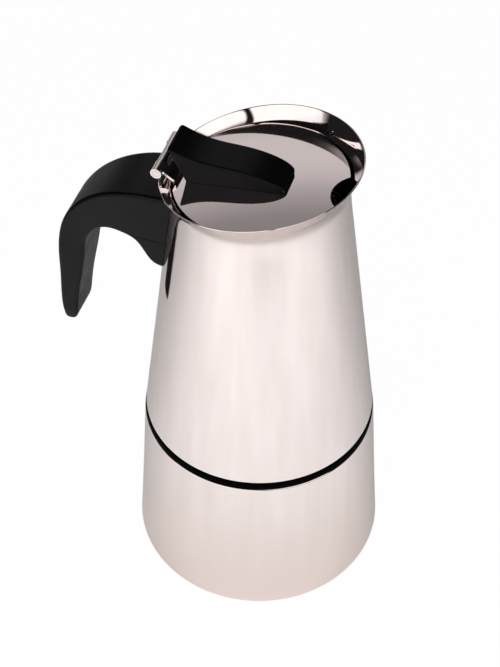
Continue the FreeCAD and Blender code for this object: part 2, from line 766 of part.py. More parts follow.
# Lid: drawn flat, then tilted with the neck
def lid_point(u, w):
    return (u * math.cos(LID_ANGLE) - w * math.sin(LID_ANGLE),
            LID_Z + u * math.sin(LID_ANGLE) + w * math.cos(LID_ANGLE))


def on_lid(shape):
    shape = shape.copy()
    shape.rotate(ORIGIN, ACROSS, -math.degrees(LID_ANGLE))
    shape.translate(V(0, 0, LID_Z))
    return shape


lid_flat_u = -(LID_RADIUS - LID_FLAT)
disc = rod(LID_RADIUS, V(0, 0, -LID_THICKNESS), UP, LID_THICKNESS)
disc = disc.cut(rod(NOTCH_RADIUS, V(LID_RADIUS + NOTCH_OUTSET, NOTCH_SIDE, -9), UP, 18))
disc = disc.cut(box(-2 * LID_RADIUS, lid_flat_u, -LID_RADIUS, LID_RADIUS, -9, 9))
knob_fixings = [reach - LID_RADIUS for reach in KNOB_SCREW_REACHES]
knob_drills = [rod(KNOB_SCREW_RADIUS + SLIP, V(u, 0, -9), UP, 18) for u in knob_fixings]
for drill in knob_drills:
    disc = disc.cut(drill)
save("lid_disc", on_lid(disc))

strap_inner = PIN_RADIUS + RUNNING_FIT
strap_outer = strap_inner + STRAP_SHEET
riser_in = lid_flat_u - TOUCH
riser_out = riser_in - STRAP_SHEET
bend_x, bend_z = lid_point(riser_in, STRAP_LIFT)
reach = math.hypot(bend_x - PIN_X, bend_z - PIN_Z)
lean = math.atan2(bend_z - PIN_Z, bend_x - PIN_X) + math.acos(strap_outer / reach)
touch_x = PIN_X + strap_outer * math.cos(lean)
touch_z = PIN_Z + strap_outer * math.sin(lean)
under_x = PIN_X + strap_inner * math.cos(lean)
under_z = PIN_Z + strap_inner * math.sin(lean)
slide = (under_x - touch_x, under_z - touch_z)
out_x, out_z = lid_point(riser_out, 0)
run = (bend_x - touch_x, bend_z - touch_z)
corner_share = (out_x - touch_x - slide[0]) / run[0]
corner_z = touch_z + slide[1] + corner_share * run[1]
foot_low = -LID_THICKNESS - STRAP_SHEET
foot_end = STRAP_FOOT_REACH - LID_RADIUS
strap = slab(
    STRAP_HALF,
    (touch_x, touch_z),
    (bend_x, bend_z),
    lid_point(riser_in, -LID_THICKNESS),
    lid_point(riser_in, foot_low),
    lid_point(riser_out, foot_low),
    (out_x, corner_z),
    (under_x, under_z),
)
hinge_room = box(PIN_X - 9, PIN_X + strap_outer + 1.2,
                 -leaf_half - KNUCKLE_GAP, leaf_half + KNUCKLE_GAP, PIN_Z - 9, PIN_Z + 9)
knuckles = knuckle(strap_inner, strap_outer, -HINGE_HALF, -leaf_half - KNUCKLE_GAP)
knuckles = knuckles.fuse(knuckle(strap_inner, strap_outer, leaf_half + KNUCKLE_GAP, HINGE_HALF))
strap = strap.cut(hinge_room).fuse(knuckles)
strap = strap.cut(rod(strap_inner, V(PIN_X, -20, PIN_Z), ACROSS, 40))
foot = slab(
    STRAP_FOOT_HALF,
    lid_point(riser_out + STRAP_SHEET / 2, -LID_THICKNESS),
    lid_point(foot_end, -LID_THICKNESS),
    lid_point(foot_end, foot_low),
    lid_point(riser_out + STRAP_SHEET / 2, foot_low),
)
strap = strap.fuse(foot)
for drill in knob_drills:
    strap = strap.cut(on_lid(drill))
save("lid_strap", strap)

# Knob: stations along the lid from its edge at the hinge, as lower point, upper point, height,
# lower and upper half width
KNOB_STATIONS = (
    (5.3, 0.1, 11.6, 6.7, 6.4),
    (5.6, 0.6, 11.7, 6.9, 6.9),
    (7.6, 3.6, 10.4, 7.0, 6.9),
    (10.4, 7.4, 9.0, 6.9, 6.8),
    (14.2, 12.5, 7.9, 6.8, 6.7),
    (20.0, 19.0, 7.2, 6.6, 6.7),
    (26.1, 25.7, 6.3, 6.4, 6.7),
    (31.6, 31.7, 4.6, 6.3, 6.7),
    (35.0, 35.1, 3.1, 6.1, 6.5),
    (36.9, 37.0, 2.1, 5.6, 5.9),
    (37.7, 37.8, 1.5, 4.6, 4.9),
)
knob_sections = []
for low_reach, top_reach, height, half_low, half_top in KNOB_STATIONS:
    knob_sections.append(section((top_reach - LID_RADIUS, height), (low_reach - LID_RADIUS, 0),
                                 half_top, half_low, KNOB_EDGE, 0.15, lid_point))
knob = Part.makeLoft(knob_sections, True, False, False, LOFT_DEGREE)
knob = knob.cut(on_lid(box(-60, 60, -30, 30, -5, TOUCH)))
screws = []
washers = []
for u in knob_fixings:
    under = foot_low if u < foot_end else -LID_THICKNESS
    knob = knob.cut(on_lid(rod(KNOB_SCREW_RADIUS, V(u, 0, -1), UP, 1 + KNOB_SCREW_DEPTH)))
    seat = under - KNOB_WASHER_SHEET
    one = screw(KNOB_SCREW_HEAD, KNOB_SCREW_HEAD_HEIGHT,
                KNOB_SCREW_RADIUS - TOUCH, KNOB_SCREW_DEPTH - 0.2 - seat)
    one.translate(V(u, 0, seat))
    screws.append(on_lid(one))
    ring = rod(KNOB_WASHER_RADIUS, V(u, 0, seat), UP, KNOB_WASHER_SHEET)
    washers.append(on_lid(ring.cut(rod(KNOB_SCREW_RADIUS + SLIP, V(u, 0, seat - 1), UP, 3))))
save("knob", knob)
save("knob_screws", Part.makeCompound(screws))
save("knob_washers", Part.makeCompound(washers))
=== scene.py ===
import math
import bpy
import numpy as np
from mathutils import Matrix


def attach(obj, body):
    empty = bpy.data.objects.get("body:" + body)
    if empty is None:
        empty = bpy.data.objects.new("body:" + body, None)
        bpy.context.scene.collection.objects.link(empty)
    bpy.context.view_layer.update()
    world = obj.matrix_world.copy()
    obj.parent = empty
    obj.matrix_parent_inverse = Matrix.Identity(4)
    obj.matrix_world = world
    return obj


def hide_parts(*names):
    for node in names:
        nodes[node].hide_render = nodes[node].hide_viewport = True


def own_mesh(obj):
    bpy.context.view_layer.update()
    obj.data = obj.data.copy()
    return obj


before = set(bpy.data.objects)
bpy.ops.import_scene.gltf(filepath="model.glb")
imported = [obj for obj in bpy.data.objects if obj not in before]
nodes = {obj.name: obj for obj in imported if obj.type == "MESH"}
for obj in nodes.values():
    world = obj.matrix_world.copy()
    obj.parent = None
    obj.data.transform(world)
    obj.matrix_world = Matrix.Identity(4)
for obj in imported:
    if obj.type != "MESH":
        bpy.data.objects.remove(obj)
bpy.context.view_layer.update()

scene = bpy.context.scene
scene.view_settings.view_transform = "Standard"
MM = 0.001
SHARP_EDGE = 28
LEVEL = (1, 1, 0)
WHITE = (1, 1, 1, 1)

# Settings that several shader nodes share
PLUS = {"operation": "ADD"}
TIMES = {"operation": "MULTIPLY"}
ALONG = {"operation": "DOT_PRODUCT"}
LENGTH = {"operation": "LENGTH"}
UNIT = {"operation": "NORMALIZE"}
COLOURS = {"data_type": "RGBA"}
VALUES = {"data_type": "FLOAT"}
EASED = {"interpolation_type": "SMOOTHSTEP"}


# Colours are written as sRGB hex and used as linear light
def linear(hex_colour):
    parts = [int(hex_colour[i:i + 2], 16) / 255 for i in (1, 3, 5)]
    light = [c / 12.92 if c <= 0.04045 else ((c + 0.055) / 1.055) ** 2.4 for c in parts]
    return (*light, 1.0)


# Adds one node to a material or world, with its settings and what feeds its sockets.
# A feed named i1, i2 and so on goes to the socket of that number. A node given as a feed
# stands for the first output it has in use.
def add(tree, kind, settings=None, **feeds):
    node = tree.nodes.new(kind)
    for key, value in (settings or {}).items():
        setattr(node, key, value)
    for key, value in feeds.items():
        numbered = key[0] == "i" and key[1:].isdigit()
        socket = node.inputs[int(key[1:]) if numbered else key.replace("_", " ")]
        if isinstance(value, bpy.types.Node):
            value = next(out for out in value.outputs if out.enabled)
        if isinstance(value, bpy.types.NodeSocket):
            tree.links.new(value, socket)
        else:
            socket.default_value = value
    return node


# The feeds From Min and From Max, or To Min and To Max, from a pair of values
def span(end, pair):
    return {end + "_Min": pair[0], end + "_Max": pair[1]}


def new_material(name):
    material = bpy.data.materials.new(name)
    material.use_nodes = True
    material.node_tree.nodes.clear()
    return material, material.node_tree


def give(material, *names):
    for name in names:
        mesh = nodes[name].data
        mesh.materials.clear()
        mesh.materials.append(material)


def smooth(mesh):
    mesh.shade_smooth()
    mesh.set_sharp_from_angle(angle=math.radians(SHARP_EDGE))


# A new object in one material, from its corners and faces
def make_piece(name, corners, faces, material):
    mesh = bpy.data.meshes.new(name)
    mesh.from_pydata(corners, [], faces)
    smooth(mesh)
    mesh.materials.append(material)
    piece = bpy.data.objects.new(name, mesh)
    scene.collection.objects.link(piece)
    return piece


# Widths of marks in millimetres. Most of a pattern lies in its middle range.
MIDDLE = (0.3, 0.7)
WHEEL_LINE = 0.4
STREAK = 5.0
STREAK_DRAW = (1, 1, 0.04)
POLISH_CLOUD = 22
HANDLING = 12
PRESS_LINE = 0.35
PRESS_CLOUD = 6
MOULD_GRAIN = 0.45
MOULD_CLOUD = 9
MOULD_SHEEN = 5
RUBBER_GRAIN = 0.6
RUBBER_BLOOM = 4
RUBBER_WEAR = 3
TOOL_RING = 0.3
BRASS_CLOUD = 1.2

# Roughness of each finish, from its smoothest to its roughest
BRUSHED = (0.046, 0.054)
POLISHED = (0.03, 0.06)
PRESSED = (0.22, 0.36)
MOULDED = (0.30, 0.38)
BLACK_RUBBER = (0.54, 0.66)
SILICONE = (0.44, 0.56)
TURNED = (0.2, 0.32)

# The body's steel: share of the level lines in its marks, how far up the painted shade at the
# base reaches, and how far a surface has to face down to get the painted underside shade
LINE_SHARE = 0.3
BASE_SHADE_REACH = (0.0, 70 * MM)
BASE_SHADE_TINT = "#EDDFD9"
DOWN_FACING_SHADE = (-0.02, -0.25)
DOWN_FACING_SHADE_TINT = "#DACDC9"

# Thin plate is never quite flat, and the lid's mirror shows it: crown is how much its normal
# leans outward per metre from the pot's axis, and sag how much it leans over as a whole
LID_CROWN = 3.0
LID_SAG = (0, 0.02, 0)
NO_CROWN = 0.0
NO_SAG = (0, 0, 0)


# Cloudy marks over a surface, as wide as the size given in millimetres
def cloud(tree, size, detail=3.0):
    place = add(tree, "ShaderNodeTexCoord").outputs["Object"]
    return add(tree, "ShaderNodeTexNoise", None, Vector=place, Scale=1 / (size * MM), Detail=detail,
               Roughness=0.55)


# Rings round the pot's axis, as a lathe or a polishing wheel leaves them
def rings(tree, size):
    place = add(tree, "ShaderNodeTexCoord").outputs["Object"]
    flat = add(tree, "ShaderNodeVectorMath", TIMES, i0=place, i1=LEVEL)
    radius = add(tree, "ShaderNodeVectorMath", LENGTH, i0=flat)
    parts = add(tree, "ShaderNodeSeparateXYZ", None, Vector=place)
    along = add(tree, "ShaderNodeMath", PLUS, i0=radius, i1=parts.outputs["Z"])
    return add(tree, "ShaderNodeTexNoise", {"noise_dimensions": "1D"}, W=along, Scale=1 / (size * MM),
               Detail=2.0, Roughness=0.6)


# Upright streaks on the side of the pot, as wide as the size given and many times as long
def streaks(tree, size):
    place = add(tree, "ShaderNodeTexCoord").outputs["Object"]
    drawn = add(tree, "ShaderNodeVectorMath", TIMES, i0=place, i1=STREAK_DRAW)
    return add(tree, "ShaderNodeTexNoise", None, Vector=drawn, Scale=1 / (size * MM), Detail=2.0,
               Roughness=0.5)


# One where a surface faces away from the pot's axis, none where it faces it
def outward(tree):
    shape = add(tree, "ShaderNodeNewGeometry")
    flat = add(tree, "ShaderNodeVectorMath", TIMES, i0=shape.outputs["Position"], i1=LEVEL)
    turn = add(tree, "ShaderNodeVectorMath", ALONG, i0=shape.outputs["Normal"], i1=flat)
    return add(tree, "ShaderNodeMath", {"operation": "GREATER_THAN"}, i0=turn, i1=0.0)


# Stainless steel, buffed round and round outside: a soft mirror, a little drawn out up and down
# by fine level lines. Inside it is a clear mirror. The lowest part is painted with shade, a little
# duller and browner, for the shadowed floor it mirrors near the base, and surfaces that face down,
# such as the underside of the flare, are painted with shade a tone duller. The lines are drawn
# coarser than real ones, to be seen at all.
def brushed_steel():
    material, tree = new_material("brushed_stainless_steel")
    lines = rings(tree, WHEEL_LINE)
    place = add(tree, "ShaderNodeTexCoord").outputs["Object"]
    parts = add(tree, "ShaderNodeSeparateXYZ", None, Vector=place)
    above_base_shade = add(tree, "ShaderNodeMapRange", EASED, Value=parts.outputs["Z"], **span("From", BASE_SHADE_REACH))
    fine = add(tree, "ShaderNodeMath", TIMES, i0=lines, i1=LINE_SHARE)
    wide = add(tree, "ShaderNodeMath", TIMES, i0=streaks(tree, STREAK), i1=1 - LINE_SHARE)
    both = add(tree, "ShaderNodeMath", PLUS, i0=fine, i1=wide)
    marks = add(tree, "ShaderNodeMapRange", None, Value=both, **span("From", MIDDLE))
    plain = add(tree, "ShaderNodeMix", COLOURS, i0=marks, i6=linear("#FFF6F4"), i7=linear("#F5EAE7"))
    # Painted shade: the lowest part is tinted duller and browner, for the shadowed floor it mirrors
    warm = add(tree, "ShaderNodeMix", COLOURS, i0=above_base_shade, i6=linear(BASE_SHADE_TINT), i7=plain)
    normal = add(tree, "ShaderNodeNewGeometry").outputs["Normal"]
    facing = add(tree, "ShaderNodeSeparateXYZ", None, Vector=normal).outputs["Z"]
    # Painted shade: surfaces that face down are tinted a tone darker
    under = add(tree, "ShaderNodeMapRange", EASED, Value=facing, **span("From", DOWN_FACING_SHADE))
    colour = add(tree, "ShaderNodeMix", COLOURS, i0=under, i6=warm, i7=linear(DOWN_FACING_SHADE_TINT))
    outside = add(tree, "ShaderNodeMapRange", None, Value=lines, **span("From", MIDDLE),
                  **span("To", BRUSHED))
    rough = add(tree, "ShaderNodeMix", VALUES, i0=outward(tree), i2=POLISHED[0], i3=outside)
    round_axis = add(tree, "ShaderNodeTangent", {"direction_type": "RADIAL", "axis": "Z"})
    steel = add(tree, "ShaderNodeBsdfPrincipled", None, Metallic=1.0, Anisotropic=0.5,
                Anisotropic_Rotation=0.25, Base_Color=colour, Roughness=rough, Tangent=round_axis)
    add(tree, "ShaderNodeOutputMaterial", None, Surface=steel)
    return material


# Stainless steel, polished on a wheel: a clear mirror with a warm cast and a trace of handling,
# leaning by the crown and sag given
def polished_steel(name, crown, sag):
    material, tree = new_material(name)
    place = add(tree, "ShaderNodeTexCoord").outputs["Object"]
    lean = add(tree, "ShaderNodeVectorMath", {"operation": "MULTIPLY_ADD"}, i0=place,
               i1=(crown, crown, 0), i2=sag)
    to_world = {"vector_type": "VECTOR", "convert_from": "OBJECT", "convert_to": "WORLD"}
    turned = add(tree, "ShaderNodeVectorTransform", to_world, Vector=lean)
    shape = add(tree, "ShaderNodeNewGeometry")
    normal = add(tree, "ShaderNodeVectorMath", PLUS, i0=shape.outputs["Normal"], i1=turned)
    whole = add(tree, "ShaderNodeVectorMath", UNIT, i0=normal)
    colour = add(tree, "ShaderNodeMix", COLOURS, i0=cloud(tree, POLISH_CLOUD), i6=linear("#F0E6E5"),
                 i7=linear("#EBE1E0"))
    rough = add(tree, "ShaderNodeMapRange", None, Value=cloud(tree, HANDLING), **span("From", MIDDLE),
                **span("To", POLISHED))
    steel = add(tree, "ShaderNodeBsdfPrincipled", None, Metallic=1.0, Base_Color=colour, Roughness=rough,
                Normal=whole)
    add(tree, "ShaderNodeOutputMaterial", None, Surface=steel)
    return material


# Stainless steel, pressed and left plain: a soft grey sheen, drawn along the pressing
def pressed_steel():
    material, tree = new_material("pressed_stainless_steel")
    grain = rings(tree, PRESS_LINE)
    bump = add(tree, "ShaderNodeBump", None, Strength=0.12, Distance=0.02 * MM, Height=grain)
    colour = add(tree, "ShaderNodeMix", COLOURS, i0=cloud(tree, PRESS_CLOUD), i6=linear("#CFC8C4"),
                 i7=linear("#BDB5B1"))
    rough = add(tree, "ShaderNodeMapRange", None, Value=grain, **span("From", MIDDLE),
                **span("To", PRESSED))
    steel = add(tree, "ShaderNodeBsdfPrincipled", None, Metallic=1.0, Base_Color=colour, Roughness=rough,
                Normal=bump)
    add(tree, "ShaderNodeOutputMaterial", None, Surface=steel)
    return material


# Heat-proof phenolic, moulded: near black with a fine-grained skin that gives back little of the room
def phenolic():
    material, tree = new_material("moulded_black_phenolic")
    grain = cloud(tree, MOULD_GRAIN, 2.0)
    bump = add(tree, "ShaderNodeBump", None, Strength=0.12, Distance=0.03 * MM, Height=grain)
    colour = add(tree, "ShaderNodeMix", COLOURS, i0=cloud(tree, MOULD_CLOUD), i6=linear("#040405"),
                 i7=linear("#060607"))
    rough = add(tree, "ShaderNodeMapRange", None, Value=cloud(tree, MOULD_SHEEN), **span("From", MIDDLE),
                **span("To", MOULDED))
    plastic = add(tree, "ShaderNodeBsdfPrincipled", None, Specular_IOR_Level=0.16, IOR=1.5,
                  Base_Color=colour, Roughness=rough, Normal=bump)
    add(tree, "ShaderNodeOutputMaterial", None, Surface=plastic)
    return material


# Rubber: dead matt, with a dusty bloom here and there
def rubber(name, first, second, finish, sheen):
    material, tree = new_material(name)
    grain = cloud(tree, RUBBER_GRAIN, 2.0)
    bump = add(tree, "ShaderNodeBump", None, Strength=0.15, Distance=0.03 * MM, Height=grain)
    colour = add(tree, "ShaderNodeMix", COLOURS, i0=cloud(tree, RUBBER_BLOOM), i6=linear(first),
                 i7=linear(second))
    rough = add(tree, "ShaderNodeMapRange", None, Value=cloud(tree, RUBBER_WEAR), **span("From", MIDDLE),
                **span("To", finish))
    skin = add(tree, "ShaderNodeBsdfPrincipled", None, Specular_IOR_Level=sheen, IOR=1.45,
               Base_Color=colour, Roughness=rough, Normal=bump)
    add(tree, "ShaderNodeOutputMaterial", None, Surface=skin)
    return material


# Brass, turned: yellow metal with tool rings, a little dulled by heat
def turned_brass():
    material, tree = new_material("turned_brass")
    marks = cloud(tree, BRASS_CLOUD)
    tooling = rings(tree, TOOL_RING)
    bump = add(tree, "ShaderNodeBump", None, Strength=0.1, Distance=0.02 * MM, Height=tooling)
    colour = add(tree, "ShaderNodeMix", COLOURS, i0=marks, i6=linear("#DDBD72"), i7=linear("#C9A455"))
    rough = add(tree, "ShaderNodeMapRange", None, Value=marks, **span("From", MIDDLE),
                **span("To", TURNED))
    brass = add(tree, "ShaderNodeBsdfPrincipled", None, Metallic=1.0, Base_Color=colour, Roughness=rough,
                Normal=bump)
    add(tree, "ShaderNodeOutputMaterial", None, Surface=brass)
    return material


body_steel = brushed_steel()
lid_steel = polished_steel("polished_lid_steel", LID_CROWN, LID_SAG)
hinge_steel = polished_steel("polished_stainless_steel", NO_CROWN, NO_SAG)
plain_steel = pressed_steel()
give(body_steel, "boiler_shell", "boiler_neck", "collector_shell")
give(lid_steel, "lid_disc")
give(hinge_steel, "lid_strap", "hinge_bracket", "hinge_pin")
give(plain_steel, "valve_spring", "funnel_cup", "funnel_stem", "funnel_screen", "filter_plate",
     "thread_ring", "collector_floor", "riser_column", "riser_cap", "handle_bracket", "handle_screw",
     "knob_screws", "knob_washers")
give(phenolic(), "handle", "handle_cover", "knob")
give(rubber("black_rubber", "#020202", "#040404", BLACK_RUBBER, 0.01), "seam_ring")
give(rubber("white_silicone", "#E6E2DA", "#DAD5CC", SILICONE, 0.25), "gasket", "valve_washer")
give(turned_brass(), "valve_body", "valve_cap", "valve_stem", "valve_nut")
for node in nodes.values():
    smooth(node.data)

# The two vessels' skins are drawn again as even nets over the same shapes, so that their mirrors
# run smoothly. Lengths in millimetres, as in the part. The boiler's base is drawn a hair smaller
# than the part's, to stay inside its box, and its floors stop a hair short of the axis.
FOOT_RADIUS = 41.85
FOOT_Z = 68.1
NECK_RADIUS = 28.7
NECK_Z = 164.8
NECK_SLANT = 1.6
NECK_SOFTEN = 0.9
CONE_SHARES = (0.0, 0.2, 0.4, 0.6, 0.78, 0.84, 0.88, 0.92, 0.955)
SKIN = 0.45
LID_RADIUS = 28.1
LID_SLOPE = 0.068
LID_REACH = 29.15
LID_LEVEL = 170.9
RIM_RADIUS = 32.47
RIM_RISE = 11.4
RIM_SLANT = 5.29
RIM_BOW = -0.69
FLARE_MID = 0.42
BASE_RADIUS = 47.58
BOILER_HEIGHT = 64.5
SHOULDER_INSET = 5.1
BOILER_BULGE = -0.15
BOILER_WALL = 0.8
BASE_ROUND = 0.8
SHOULDER_ROUND = 0.5
MOUTH_RADIUS = 37.06
AXIS_GAP = 0.01
EDGE_STEPS = 6
NET_TURNS = 240
SPAN_STEPS = 8
SIDE_STEPS = 24
SIDE_END = 0.004


# Points up the collector's side at a turn round the axis: the cone, the neck, the lid's level, the
# middle of the flare and the rim
def meridian(turn):
    c = math.cos(turn)
    lid = LID_LEVEL + LID_SLOPE * LID_RADIUS * c
    rim = NECK_Z + RIM_RISE + RIM_SLANT * c + RIM_BOW * math.cos(2 * turn)
    line = []
    for share in CONE_SHARES:
        radius = FOOT_RADIUS + share * (NECK_RADIUS - FOOT_RADIUS)
        line.append((radius, FOOT_Z + share * (NECK_Z - FOOT_Z)))
    line.append((NECK_RADIUS, NECK_Z + NECK_SOFTEN + NECK_SLANT * c))
    line.append((LID_REACH, lid))
    line.append((LID_REACH + FLARE_MID * (RIM_RADIUS - LID_REACH), (lid + rim) / 2))
    line.append((RIM_RADIUS, rim))
    return np.array(line)


# A smooth line through the points, a cubic in each span: places along it and its directions there
def through(points):
    gaps = np.linalg.norm(np.diff(points, axis=0), axis=1)
    size = len(points)
    grid = np.eye(size)
    pull = np.zeros((size, 2))
    for k in range(1, size - 1):
        grid[k, k - 1:k + 2] = (gaps[k - 1], 2 * (gaps[k - 1] + gaps[k]), gaps[k])
        pull[k] = 6 * ((points[k + 1] - points[k]) / gaps[k] - (points[k] - points[k - 1]) / gaps[k - 1])
    bend = np.linalg.solve(grid, pull)
    places = []
    ways = []
    for k in range(size - 1):
        count = SPAN_STEPS + 1 if k == size - 2 else SPAN_STEPS
        for step in range(count):
            t = gaps[k] * step / SPAN_STEPS
            rise = (points[k + 1] - points[k]) / gaps[k] - gaps[k] * (2 * bend[k] + bend[k + 1]) / 6
            curl = (bend[k + 1] - bend[k]) / gaps[k]
            places.append(points[k] + rise * t + bend[k] * t ** 2 / 2 + curl * t ** 3 / 6)
            ways.append(rise + bend[k] * t + curl * t ** 2 / 2)
    ways = np.array(ways)
    return np.array(places), ways / np.linalg.norm(ways, axis=1)[:, None]


# Up the outside, over the rounded rim and down the inside
def collector_section(turn):
    outer, ways = through(meridian(turn))
    across = np.stack([-ways[:, 1], ways[:, 0]], axis=1)
    outer[-1] -= SKIN / 2 * ways[-1]
    inner = outer + SKIN * across
    inner[0, 1] = outer[0, 1]
    edge = []
    for share in range(1, EDGE_STEPS):
        swing = math.pi * share / EDGE_STEPS
        reach = SKIN / 2 * np.array([1 - math.cos(swing), math.sin(swing)])
        edge.append(outer[-1] + reach[0] * across[-1] + reach[1] * ways[-1])
    return [*outer, *edge, *inner[::-1]]


def boiler_side(z):
    share = z / BOILER_HEIGHT
    return BASE_RADIUS - SHOULDER_INSET * share + 4 * BOILER_BULGE * share * (1 - share)


# A quarter turn round a middle, from the angle given
def quarter(middle, level, radius, start):
    swings = [math.radians(start + 90 * k / EDGE_STEPS) for k in range(EDGE_STEPS + 1)]
    return [(middle + radius * math.cos(a), level + radius * math.sin(a)) for a in swings]


# Out along the floor, up the side and in over the shoulder to the mouth
def boiler_wall(inset, floor, top):
    low = floor + BASE_ROUND
    high = top - SHOULDER_ROUND
    shares = [SIDE_END, *[k / SIDE_STEPS for k in range(1, SIDE_STEPS)], 1 - SIDE_END]
    line = [(AXIS_GAP, floor)]
    line += quarter(boiler_side(low) - inset - BASE_ROUND, low, BASE_ROUND, -90)
    for share in shares:
        z = low + share * (high - low)
        line.append((boiler_side(z) - inset, z))
    line += quarter(boiler_side(high) - inset - SHOULDER_ROUND, high, SHOULDER_ROUND, 0)
    line.append((MOUTH_RADIUS, top))
    return line


# The boiler is round, so its section is the same at every turn
def boiler_section(turn):
    outer = boiler_wall(0, 0, BOILER_HEIGHT)
    inner = boiler_wall(BOILER_WALL, BOILER_WALL, BOILER_HEIGHT - BOILER_WALL)
    return [*outer, *inner[::-1]]


# A closed net round the pot's axis from its section at each turn, in place of a node
def net(name, section, node, body):
    corners = []
    for k in range(NET_TURNS):
        turn = 2 * math.pi * k / NET_TURNS
        for radius, level in section(turn):
            corners.append((radius * MM * math.cos(turn), radius * MM * math.sin(turn), level * MM))
    row = len(corners) // NET_TURNS
    faces = []
    for k in range(NET_TURNS):
        here = k * row
        there = (k + 1) % NET_TURNS * row
        for j in range(row):
            up = (j + 1) % row
            faces.append((here + j, there + j, there + up, here + up))
    piece = make_piece(name, corners, faces, body_steel)
    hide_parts(node)
    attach(piece, body)


net("collector_skin", collector_section, "collector_shell", "collector")
net("boiler_skin", boiler_section, "boiler_shell", "boiler")

# The valve's spring is wound again as a coil of wire.
# Lengths in millimetres, as in the part.
VALVE_Y = 44.396
VALVE_Z = 38.7
SPRING_FROM = -3.0
SPRING_LENGTH = 10.3
SPRING_RADIUS = 2.2
SPRING_WIRE = 0.28
SPRING_PITCH = 1.55
TURN_STEPS = 24
WIRE_STEPS = 10


def wound_spring(material):
    turns = SPRING_LENGTH / SPRING_PITCH
    steps = round(turns * TURN_STEPS)
    corners = []
    for k in range(steps + 1):
        turn = 2 * math.pi * turns * k / steps
        level = VALVE_Y + SPRING_FROM + SPRING_LENGTH * k / steps
        for j in range(WIRE_STEPS):
            swing = 2 * math.pi * j / WIRE_STEPS
            radius = SPRING_RADIUS + SPRING_WIRE * math.cos(swing)
            x = radius * math.cos(turn)
            y = level + SPRING_WIRE * math.sin(swing)
            z = VALVE_Z - radius * math.sin(turn)
            corners.append((x * MM, y * MM, z * MM))
    faces = []
    for k in range(steps):
        here = k * WIRE_STEPS
        for j in range(WIRE_STEPS):
            side = (j + 1) % WIRE_STEPS
            faces.append((here + j, here + WIRE_STEPS + j, here + WIRE_STEPS + side, here + side))
    faces.append(tuple(range(WIRE_STEPS)))
    faces.append(tuple(steps * WIRE_STEPS + j for j in reversed(range(WIRE_STEPS))))
    coil = make_piece("spring_coil", corners, faces, material)
    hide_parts("valve_spring")
    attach(coil, "boiler")
    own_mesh(coil)


wound_spring(plain_steel)

# Round the pot, as the steel sees it, a low wall stands beyond the floor: pale before and behind,
# grey to the sides, with a black flag on the handle's side and another behind. A flag is given by
# the way to it and by how near that way it begins and is full.
ROOM = (0.012, 0.012, 0.013, 1)
FLAGS = (((-1, 0, 0), (0.80, 0.90)), ((0.122, 0.993, 0), (0.93, 0.98)))
WALL_LIGHT = (0.80, 0.79, 0.79, 1)
WALL_SHADE = (0.24, 0.235, 0.235, 1)
WALL_WAY = (0.34, 0.94, 0)
WALL_TURN = (0.15, 0.90)


def wall(tree, way):
    along = add(tree, "ShaderNodeVectorMath", ALONG, i0=way, i1=WALL_WAY)
    either = add(tree, "ShaderNodeMath", {"operation": "ABSOLUTE"}, i0=along)
    pale = add(tree, "ShaderNodeMapRange", EASED, Value=either, **span("From", WALL_TURN))
    tone = add(tree, "ShaderNodeMix", COLOURS, i0=pale, i6=WALL_SHADE, i7=WALL_LIGHT)
    for flag, edge in FLAGS:
        near = add(tree, "ShaderNodeVectorMath", ALONG, i0=way, i1=flag)
        dark = add(tree, "ShaderNodeMapRange", EASED, Value=near, **span("From", edge))
        tone = add(tree, "ShaderNodeMix", COLOURS, i0=dark, i6=tone, i7=ROOM)
    return tone


# Floor: white board. The eye sees it almost white, and white far off. The steel sees it as it is
# lit, shadow and all, and beyond the reach of the lamps as the wall.
FLOOR_HALF = 3.0
EYE_WHITE = (0.985, 1.0)
FAR = (0.32, 0.60)


def white_board():
    material, tree = new_material("white_board")
    board = add(tree, "ShaderNodeBsdfDiffuse", None, Color=linear("#F7F6F5"))
    path = add(tree, "ShaderNodeLightPath")
    to_eye = path.outputs["Is Camera Ray"]
    place = add(tree, "ShaderNodeNewGeometry").outputs["Position"]
    reach = add(tree, "ShaderNodeVectorMath", LENGTH, i0=place)
    way = add(tree, "ShaderNodeVectorMath", UNIT, i0=place)
    far = add(tree, "ShaderNodeMapRange", EASED, Value=reach, **span("From", FAR))
    near_white = add(tree, "ShaderNodeMapRange", None, Value=far, **span("To", EYE_WHITE))
    mirrored = add(tree, "ShaderNodeMath", TIMES, i0=path.outputs["Is Glossy Ray"], i1=far)
    share = add(tree, "ShaderNodeMix", VALUES, i0=to_eye, i2=mirrored, i3=near_white)
    tone = add(tree, "ShaderNodeMix", COLOURS, i0=to_eye, i6=wall(tree, way), i7=WHITE)
    glow = add(tree, "ShaderNodeEmission", None, Color=tone, Strength=1.0)
    mixed = add(tree, "ShaderNodeMixShader", None, Fac=share, i1=board, i2=glow)
    add(tree, "ShaderNodeOutputMaterial", None, Surface=mixed)
    return material


floor_corners = [(-FLOOR_HALF, -FLOOR_HALF, 0), (FLOOR_HALF, -FLOOR_HALF, 0),
                 (FLOOR_HALF, FLOOR_HALF, 0), (-FLOOR_HALF, FLOOR_HALF, 0)]
floor = make_piece("floor", floor_corners, [(0, 1, 2, 3)], white_board())

